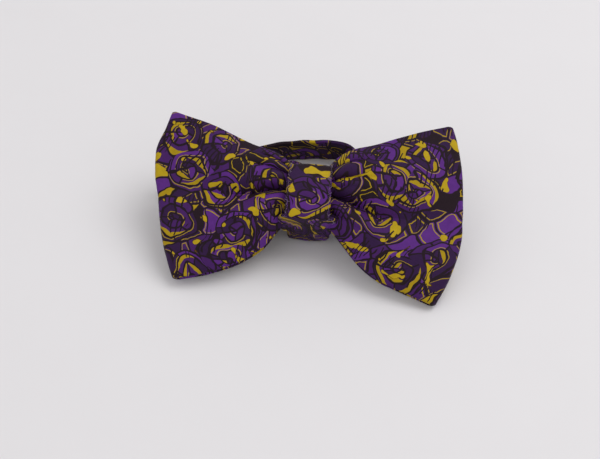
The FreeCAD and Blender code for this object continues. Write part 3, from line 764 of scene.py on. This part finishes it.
def knotHalfWidth(loop, spec):   # the strip spreads into a rounded belly below the front edge
    s, n = loop[:, 0], loop[:, 1]
    lower = s < spec["bellyUnder"]
    under = np.clip((spec["bellyFront"] - n) / spec["bellyDepth"], 0, 1) * lower
    rounding = 1 - (spec["bellyRound"] * under) ** spec["bellyPower"]
    bellied = spec["bellyHalf"] * np.sqrt(np.clip(rounding, 0.05, 1))
    below = np.clip((spec["spreadFrom"] - n) / spec["spreadOver"], 0, 1) * lower
    backLow, backHigh = spec["backSpan"]
    behind = np.clip((-n - spec["backFrom"]) / spec["backOver"], 0, 1) * (s > backLow) * (s < backHigh)
    half = spec["halfWidth"] * (1 - below) + bellied * below
    narrowed = spec["halfWidth"] + (spec["backHalf"] - spec["halfWidth"]) * behind
    half = np.where(behind > 0, np.minimum(half, narrowed), half)
    ease = spec["ease"]
    kernel = np.ones(2 * ease + 1) / (2 * ease + 1)
    return np.convolve(np.concatenate([half[-ease:], half, half[:ease]]), kernel, mode="valid")


def makeKnot(spec):
    count = spec["count"]
    loop, around = roundedLoop(spec["corners"], count)
    out = loopNormals(loop)
    half = knotHalfWidth(loop, spec)
    walked = np.arange(count) * around / count
    draws = np.random.default_rng(spec["seed"])

    def wander(waves):   # slow unevenness of one edge
        turns = walked / around * 2 * math.pi
        return sum(np.sin(turns * k + draws.uniform(0, 6.3)) * draws.uniform(0.4, 1) / k ** 0.5
                   for k in waves) * spec["edgeWander"] * 0.5

    halfLeft = (half + wander(spec["leftWaves"]))[:, None]
    halfRight = (half + wander(spec["rightWaves"]))[:, None]
    beneath = 1 / (1 + np.exp((loop[:, 0] + spec["gatherBelow"]) / spec["gatherSoft"]))
    beneath = beneath * np.clip((spec["gatherReach"] - np.abs(loop[:, 1])) / spec["gatherFade"], 0, 1)
    often, bend = spec["gatherBend"]

    def skin(depth, across):   # across from -1 to 1, at a depth below the outer face
        x = across * np.where(across < 0, halfLeft, halfRight)
        crown = spec["crown"] * (1 - across ** 2) - spec["crown"]
        ridges = np.sin(x * 2 * math.pi / spec["gatherPitch"] + np.sin(x * often) * bend)
        bump = crown + spec["gathers"] * ridges * beneath[:, None] - depth
        return np.stack([x, loop[:, :1] + out[:, :1] * bump, loop[:, 1:] + out[:, 1:] * bump], -1)

    across = np.linspace(-1, 1, spec["columns"])[None] * np.ones((count, 1))
    outer = skin(spec["skinDepth"], across)
    thinOut = np.column_stack([np.zeros(count), out])
    columns = []
    radius = spec["turnRadius"]
    for edge, sign in ((0, -1), (-1, 1)):
        rim = outer[:, edge]
        side = np.array([sign, 0, 0], float)
        steps = [rim - thinOut * radius * (1 - math.cos(t)) + side * radius * math.sin(t)
                 for t in np.linspace(0, math.pi, turnSteps + 1)[1:]]
        steps += [rim - thinOut * 2 * radius - side * back
                  for back in np.linspace(0, spec["hem"], spec["hemSteps"] + 1)[1:]]
        columns.append(steps)
    grid = np.stack(columns[0][::-1] + [outer[:, c] for c in range(spec["columns"])] + columns[1], 1)
    walkedAcross = lengths(grid, 1)
    walkedAcross = walkedAcross - walkedAcross[:, [grid.shape[1] // 2]]
    walkedAlong = walked[:, None] * np.ones((1, grid.shape[1]))
    # the print's shift puts darker print on the underside, a painted shade
    flat = (np.stack([walkedAcross, walkedAlong], -1) + np.array(spec["printShift"])) * mm
    # the strip's ends overlap at the back, so the loop is opened there
    grid = np.concatenate([grid, grid[:1]])
    flat = np.concatenate([flat, flat[:1] + np.array([0, around * mm])])
    wrap = makeObject("knot_cloth", onBowPlane(grid), gridFaces(*grid.shape[:2]), flat, clothMaterial)
    rework(wrap, weld=True)
    thicken(wrap, spec["thick"])
    finishSheet(wrap, "bow", "knot_wrap")

    share, inners = spec["liningShare"], spec["liningColumns"]
    lining = skin(spec["liningDepth"], np.linspace(-share, share, inners)[None] * np.ones((count, 1)))
    lining = np.concatenate([lining, lining[:1]])
    liningAlong = np.arange(count + 1)[:, None] * np.ones((1, inners)) * around / count
    liningFlat = np.stack([lining[..., 0], liningAlong], -1) * mm
    stiffener = makeObject("knot_stiffener", onBowPlane(lining), gridFaces(*lining.shape[:2]), liningFlat,
                           stiffeningMaterial)
    rework(stiffener, weld=True)
    thicken(stiffener, spec["liningThick"])
    finishSheet(stiffener, "bow", "knot_wrap_interlining")
    sides = skin(0.0, across)
    return onBowPlane(sides[:, 0]), onBowPlane(sides[:, -1])


# the gathered middle under the knot, and its winding

waist = {
    "corners": [(8.0, -0.4, 1.0), (9.6, 2.4, 1.0), (9.6, 4.4, 1.5), (1.9, 9.4, 8.0), (-9.0, 8.6, 1.5),
                (-9.2, -0.4, 1.0)],
    "count": 150, "halfWidth": 7.6, "columns": 16, "pinch": 0.6,
    "pleatDepth": 0.55, "pleatCount": 17, "pleatPower": 0.6,
}
winding = {"count": 7, "pitch": 0.62, "radius": 0.3, "gap": 0.25, "sinkShare": 0.6, "points": 90}


def makeWaist(spec):
    loop, around = roundedLoop(spec["corners"], spec["count"])
    out = loopNormals(loop)
    walked = np.arange(spec["count"]) * around / spec["count"]
    ridge = np.abs(np.sin(walked / around * math.pi * spec["pleatCount"])) ** spec["pleatPower"]
    across = np.linspace(-1, 1, spec["columns"])
    rows = []
    for x in across:
        depth = spec["pleatDepth"] * (1 - ridge) + spec["pinch"] * (1 - x ** 2)
        ring = loop - out * depth[:, None]
        rows.append(np.column_stack([np.full(spec["count"], x * spec["halfWidth"]), ring]))
    rows = np.array(rows)
    flat = np.stack([rows[..., 0], walked[None] * np.ones((spec["columns"], 1))], -1) * mm
    faces = gridFaces(*rows.shape[:2], roundColumns=True) + endCaps(*rows.shape[:2])
    middle = makeObject("bow_waist_cloth", onBowPlane(rows), faces, flat, clothMaterial)
    rework(middle)
    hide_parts("bow_waist")
    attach(middle, "bow")


makeWaist(waist)
knotEdges = makeKnot(knot)
print("knot made")
makeWing(leftWing, wingMake)
makeWing(rightWing, wingMake)
print("wings made")


# strap: one padded band of cloth, on edge, coiled behind the bow

strap = {
    "pitch": 1.5, "middle": (0.586, -1.587, 8.589), "start": (0.0, 2.0),
    # moves of each arm: a run in mm, or a bend with its radius and degrees, left bends positive
    "outer": [("run", 10), ("bend", 9, 90), ("run", 14.1), ("bend", 12, 90), ("bend", 80, 20), ("run", 32),
              ("bend", 1.9, -180), ("run", 20)],
    "inner": [("run", 31), ("bend", 10.3, -172), ("run", 22.2), ("bend", 6.5, -188), ("run", 19),
              ("bend", 1.9, -180), ("run", 8)],
    "step": 0.9, "topEdge": 6.5,
    "lean": 13.0, "drop": 0.95, "bulge": 3.0, "leanStations": (42.0, 58.0, 80.0, 99.0),   # walked, in mm
    "ripple": 0.12, "rippleLength": 9.0, "rippleRest": 0.3, "rippleAcross": 4,
    "printFrom": 700,   # how far along the cloth the band starts
}
sectionMake = {"facePoints": 13, "edgePoints": 9, "pillow": 0.28, "grooveSharpness": 4}
strapShell = {"halfWidth": 6.5, "halfThick": 1.05, "edgeRadius": 0.75, "groove": 0.28}
strapCore = {"halfWidth": 5.6, "halfThick": 0.5, "edgeRadius": 0.4, "groove": 0.0}


def onStrapPlane(points):   # plan x and y, and height above the band's middle, in mm
    points = np.asarray(points, float)
    pitch, shift = math.radians(strap["pitch"]), strap["middle"]
    c, d = math.cos(pitch), math.sin(pitch)
    x, y, z = points[..., 0], points[..., 1], points[..., 2]
    return np.stack([x + shift[0], y * c + z * d + shift[1], -y * d + z * c + shift[2]], -1) * mm


def walkRoute(start, heading, moves, step):   # places and headings along runs and bends
    place = np.array(start, float)
    route = [(place[0], place[1], heading)]
    for move in moves:
        if move[0] == "run":
            pieces = max(1, round(move[1] / step))
            for _ in range(pieces):
                place = place + np.array([math.cos(heading), math.sin(heading)]) * move[1] / pieces
                route.append((place[0], place[1], heading))
        else:
            radius, turn = move[1], math.radians(move[2])
            pieces = max(8, round(abs(turn) * radius / step))
            side = math.copysign(1, turn)
            centre = place + np.array([-math.sin(heading), math.cos(heading)]) * side * radius
            for _ in range(pieces):
                heading += turn / pieces
                place = centre - np.array([-math.sin(heading), math.cos(heading)]) * side * radius
                route.append((place[0], place[1], heading))
    return np.array(route)


def strapRoute(spec):
    outer = walkRoute(spec["start"], 0.0, spec["outer"], spec["step"])
    inner = walkRoute(spec["start"], math.pi, spec["inner"], spec["step"])[::-1].copy()
    inner[:, 2] += math.pi   # the inner arm is walked towards the knot
    route = np.concatenate([inner[:-1], outer])
    steps = np.concatenate([[0], np.cumsum(np.linalg.norm(np.diff(route[:, :2], axis=0), axis=1))])
    knotAt = steps[len(inner) - 1]
    return route, steps - knotAt


def strapSection(shape):   # the band's outline across its width: pairs of offset across the band and height
    radius = shape["edgeRadius"]
    flatPart = shape["halfWidth"] - radius
    face = np.linspace(-flatPart, flatPart, sectionMake["facePoints"])
    pillow = shape["halfThick"] * (1 - sectionMake["pillow"] * np.abs(face / shape["halfWidth"]) ** 3)
    edge = []
    for t in np.linspace(0, math.pi, sectionMake["edgePoints"])[1:-1]:
        notch = shape["groove"] * max(0, 1 - abs(math.cos(t)) * sectionMake["grooveSharpness"])
        edge.append((pillow[-1] * math.cos(t), flatPart + radius * math.sin(t) - notch))
    right = list(zip(pillow, face))
    left = [(-o, h) for o, h in right[::-1]]
    low = [(-o, -h) for o, h in edge]
    return np.array(right + edge + left + low)


def makeBand(name, node, spec, shape, material):
    route, walked = strapRoute(spec)
    section = strapSection(shape)
    lean = np.interp(walked, spec["leanStations"], [0, 1, 1, 0])[:, None]
    lean = lean * lean * (3 - 2 * lean)
    tilt = np.radians(spec["lean"]) * lean   # turned about the top edge
    side = np.stack([-np.sin(route[:, 2]), np.cos(route[:, 2])], -1)
    ripple = spec["ripple"] * np.sin(walked[:, None] / spec["rippleLength"] * 2 * math.pi)
    ripple = ripple * (lean + spec["rippleRest"])
    deep, high = section[None, :, 0], section[None, :, 1] - spec["topEdge"]
    offset = deep * np.cos(tilt) + high * np.sin(tilt)
    offset = offset + ripple * np.sin(section[None, :, 1] / spec["rippleAcross"]) - spec["bulge"] * lean
    height = high * np.cos(tilt) - deep * np.sin(tilt) + spec["topEdge"] - spec["drop"] * lean
    points = np.stack([route[:, :1] + side[:, :1] * offset, route[:, 1:2] + side[:, 1:] * offset, height], -1)
    around = np.concatenate([[0], np.cumsum(np.linalg.norm(np.diff(section, axis=0), axis=1))])
    flat = np.stack(np.broadcast_arrays(walked[:, None] + spec["printFrom"], around[None]), -1) * mm
    faces = gridFaces(*points.shape[:2], roundColumns=True) + endCaps(*points.shape[:2])
    made = makeObject(name, onStrapPlane(points), faces, flat, material)
    rework(made)
    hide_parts(node)
    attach(made, "strap")


makeBand("neck_strap_cloth", "neck_strap", strap, strapShell, clothMaterial)
makeBand("strap_stiffener", "strap_interlining", strap, strapCore, stiffeningMaterial)
print("strap made")


# stitches and winding, repeated by geometry nodes

def newTree(name, inputs):
    tree = bpy.data.node_groups.new(name, "GeometryNodeTree")
    tree.interface.new_socket("Geometry", in_out="INPUT", socket_type="NodeSocketGeometry")
    for label, kind in inputs.items():
        tree.interface.new_socket(label, in_out="INPUT", socket_type="NodeSocket" + kind)
    tree.interface.new_socket("Geometry", in_out="OUTPUT", socket_type="NodeSocketGeometry")
    return tree, tree.nodes.new("NodeGroupInput").outputs


def bakeTree(name, tree, values, points=(), edges=()):
    mesh = bpy.data.meshes.new(name)
    mesh.from_pydata([tuple(p) for p in points], [tuple(e) for e in edges], [])
    made = bpy.data.objects.new(name, mesh)
    scene.collection.objects.link(made)
    modifier = made.modifiers.new(tree.name, "NODES")
    modifier.node_group = tree
    for item in tree.interface.items_tree:
        if item.in_out == "INPUT" and item.name in values:
            modifier[item.identifier] = values[item.name]
    applyModifiers(made)
    return made


def pointRow(tree, given):   # evenly spaced points
    return put(tree, "GeometryNodeMeshLine", {"mode": "OFFSET"}, Count=given["Count"], Offset=given["Step"],
               **{"Start Location": given["Start"]}).outputs[0]


def threadAlong(tree, path, given, sides, caps):   # a round thread along a curve
    ring = put(tree, "GeometryNodeCurvePrimitiveCircle", Resolution=sides, Radius=given["Thickness"])
    return put(tree, "GeometryNodeCurveToMesh", Curve=path,
               **{"Profile Curve": ring.outputs[0], "Fill Caps": caps}).outputs[0]


def finishTree(tree, points, shape, given, **turned):   # the shape on every point, made real
    placed = put(tree, "GeometryNodeInstanceOnPoints", Points=points, Instance=shape, **turned)
    real = put(tree, "GeometryNodeRealizeInstances", _0=placed.outputs[0])
    smooth = put(tree, "GeometryNodeSetShadeSmooth", _0=real.outputs[0])
    finish = put(tree, "GeometryNodeSetMaterial", _0=smooth.outputs[0], Material=given["Thread"])
    put(tree, "NodeGroupOutput", _0=finish.outputs[0])
    return tree


def stitchTree():
    tree, given = newTree("stitch_row", {
        "Count": "Int", "Start": "Vector", "Step": "Vector", "Low end": "Vector", "Top": "Vector",
        "High end": "Vector", "Thickness": "Float", "Thread": "Material"})
    arc = put(tree, "GeometryNodeCurveQuadraticBezier", Resolution=10, Start=given["Low end"],
              Middle=given["Top"], End=given["High end"])
    return finishTree(tree, pointRow(tree, given), threadAlong(tree, arc.outputs[0], given, 8, True), given)


def windingTree():
    tree, given = newTree("winding", {
        "Count": "Int", "Start": "Vector", "Step": "Vector", "Thickness": "Float", "Thread": "Material"})
    path = put(tree, "GeometryNodeMeshToCurve", Mesh=given["Geometry"])
    return finishTree(tree, pointRow(tree, given), threadAlong(tree, path.outputs[0], given, 8, False), given)


stitchRow = stitchTree()

backStitches = {"count": 5, "pitch": 3.1, "length": 2.4, "rise": 0.45, "bite": 0.5, "thickness": 0.22,
                "foot": (8.62, -4.86), "top": (12.0, 1.6), "lift": 0.1}
eyeStitches = {"count": 4, "pitch": 2.8, "length": 1.6, "rise": 0.3, "bite": 0.5, "thickness": 0.2}


def makeBackStitches(spec):
    foot, top = np.array(spec["foot"]), np.array(spec["top"])
    slope = (top - foot) / np.linalg.norm(top - foot)
    out = np.array([slope[1], -slope[0]])
    if out @ np.array([1, -1]) < 0:
        out = -out
    middle = (foot + top) / 2 + out * spec["lift"]
    half = spec["length"] / 2

    def fromMiddle(along, lift):
        return tuple(onBowPlane((0, *(slope * along + out * lift))) - onBowPlane((0, 0, 0)))

    row = bakeTree("knot_back_stitch_row", stitchRow, {
        "Count": spec["count"],
        "Start": tuple(onBowPlane((-(spec["count"] - 1) / 2 * spec["pitch"], *middle))),
        "Step": (spec["pitch"] * mm, 0.0, 0.0), "Low end": fromMiddle(-half, -spec["bite"]),
        "Top": fromMiddle(0, spec["rise"] * 2), "High end": fromMiddle(half, -spec["bite"]),
        "Thickness": spec["thickness"] * mm, "Thread": threadMaterial})
    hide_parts("knot_back_stitches")
    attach(row, "bow")


def makeEyeStitches(spec):
    low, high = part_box("eye_fold_stitches")
    middle = (low + high) / 2
    half, bite = spec["length"] / 2 * mm, spec["bite"] * mm
    row = bakeTree("eye_stitch_row", stitchRow, {
        "Count": spec["count"],
        "Start": (middle.x, high.y, middle.z - (spec["count"] - 1) / 2 * spec["pitch"] * mm),
        "Step": (0.0, 0.0, spec["pitch"] * mm), "Low end": (-half, -bite, 0.0),
        "Top": (0.0, spec["rise"] * mm, 0.0), "High end": (half, -bite, 0.0),
        "Thickness": spec["thickness"] * mm, "Thread": threadMaterial})
    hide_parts("eye_fold_stitches")
    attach(row, "strap")


def makeWinding(spec):
    loop, _ = roundedLoop(waist["corners"], spec["points"])
    ring = loop + loopNormals(loop) * (spec["gap"] - waist["pinch"] * spec["sinkShare"])
    points = onBowPlane(np.column_stack([np.zeros(len(ring)), ring]))
    edges = [(i, (i + 1) % len(points)) for i in range(len(points))]
    start = -(spec["count"] - 1) / 2 * spec["pitch"]
    made = bakeTree("waist_winding", windingTree(), {
        "Count": spec["count"], "Start": (start * mm, 0.0, 0.0), "Step": (spec["pitch"] * mm, 0.0, 0.0),
        "Thickness": spec["radius"] * mm, "Thread": threadMaterial}, points, edges)
    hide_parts("waist_thread")
    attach(made, "bow")


# pale loose threads along the knot's side edges: partly frayed cloth, partly a painted highlight on those edges
fraysAndEdgeHighlight = {"count": 90, "length": 1.5, "thickness": 0.055, "colour": (150, 128, 160), "seed": 4,
         "low": 6, "high": 96}   # part of the loop's points that the frays and their painted highlight stand on


# fine pale hairs along an edge, partly frayed thread and partly a painted highlight
def frayAndHighlightTree():
    tree, given = newTree("frayed_edge_and_highlight", {
        "Count": "Int", "Length": "Float", "Thickness": "Float", "Seed": "Int", "Thread": "Material"})
    path = put(tree, "GeometryNodeMeshToCurve", Mesh=given["Geometry"])
    spread = put(tree, "GeometryNodeCurveToPoints", {"mode": "COUNT"}, Curve=path.outputs[0],
                 Count=given["Count"])
    half = calc(tree, "MULTIPLY", given["Length"], 0.35)
    end = put(tree, "ShaderNodeCombineXYZ", _0=given["Length"])
    bend = put(tree, "ShaderNodeCombineXYZ", _0=half, _2=half)
    hair = put(tree, "GeometryNodeCurveQuadraticBezier", Resolution=5, Start=(0, 0, 0), Middle=bend.outputs[0],
               End=end.outputs[0])
    turn = put(tree, "FunctionNodeRandomValue", {"data_type": "FLOAT_VECTOR"}, Seed=given["Seed"],
               _0=(0, 0, 0), _1=(6.28, 6.28, 6.28))
    grow = put(tree, "FunctionNodeRandomValue", {"data_type": "FLOAT"}, Seed=given["Seed"], _2=0.4, _3=1.0)
    return finishTree(tree, spread.outputs[0], threadAlong(tree, hair.outputs[0], given, 4, True), given,
                      Rotation=turn.outputs[0], Scale=grow.outputs[1])


def makeFraysAndHighlight(spec, edges):
    # the pale colour is partly a painted highlight along the knot's edges
    loose = makeThread({**threadFinish, "colour": spec["colour"]})
    loose.name = "loose_thread_and_highlight"
    points = np.concatenate([edge[spec["low"]:spec["high"]] for edge in edges])
    count = spec["high"] - spec["low"]
    joins = [(first + i, first + i + 1) for first in (0, count) for i in range(count - 1)]
    made = bakeTree("knot_frays_and_edge_highlight", frayAndHighlightTree(), {
        "Count": spec["count"], "Length": spec["length"] * mm, "Thickness": spec["thickness"] * mm,
        "Seed": spec["seed"], "Thread": loose}, points, joins)
    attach(made, "bow")


makeFraysAndHighlight(fraysAndEdgeHighlight, knotEdges)
makeBackStitches(backStitches)
makeEyeStitches(eyeStitches)
makeWinding(winding)
print("stitches made")


# metal pieces keep their shape

for node in ("hook", "eye_loop", "strap_slider"):
    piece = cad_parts[node]
    for held in piece.material_slots:
        held.material = metalMaterial
print("metal finished")
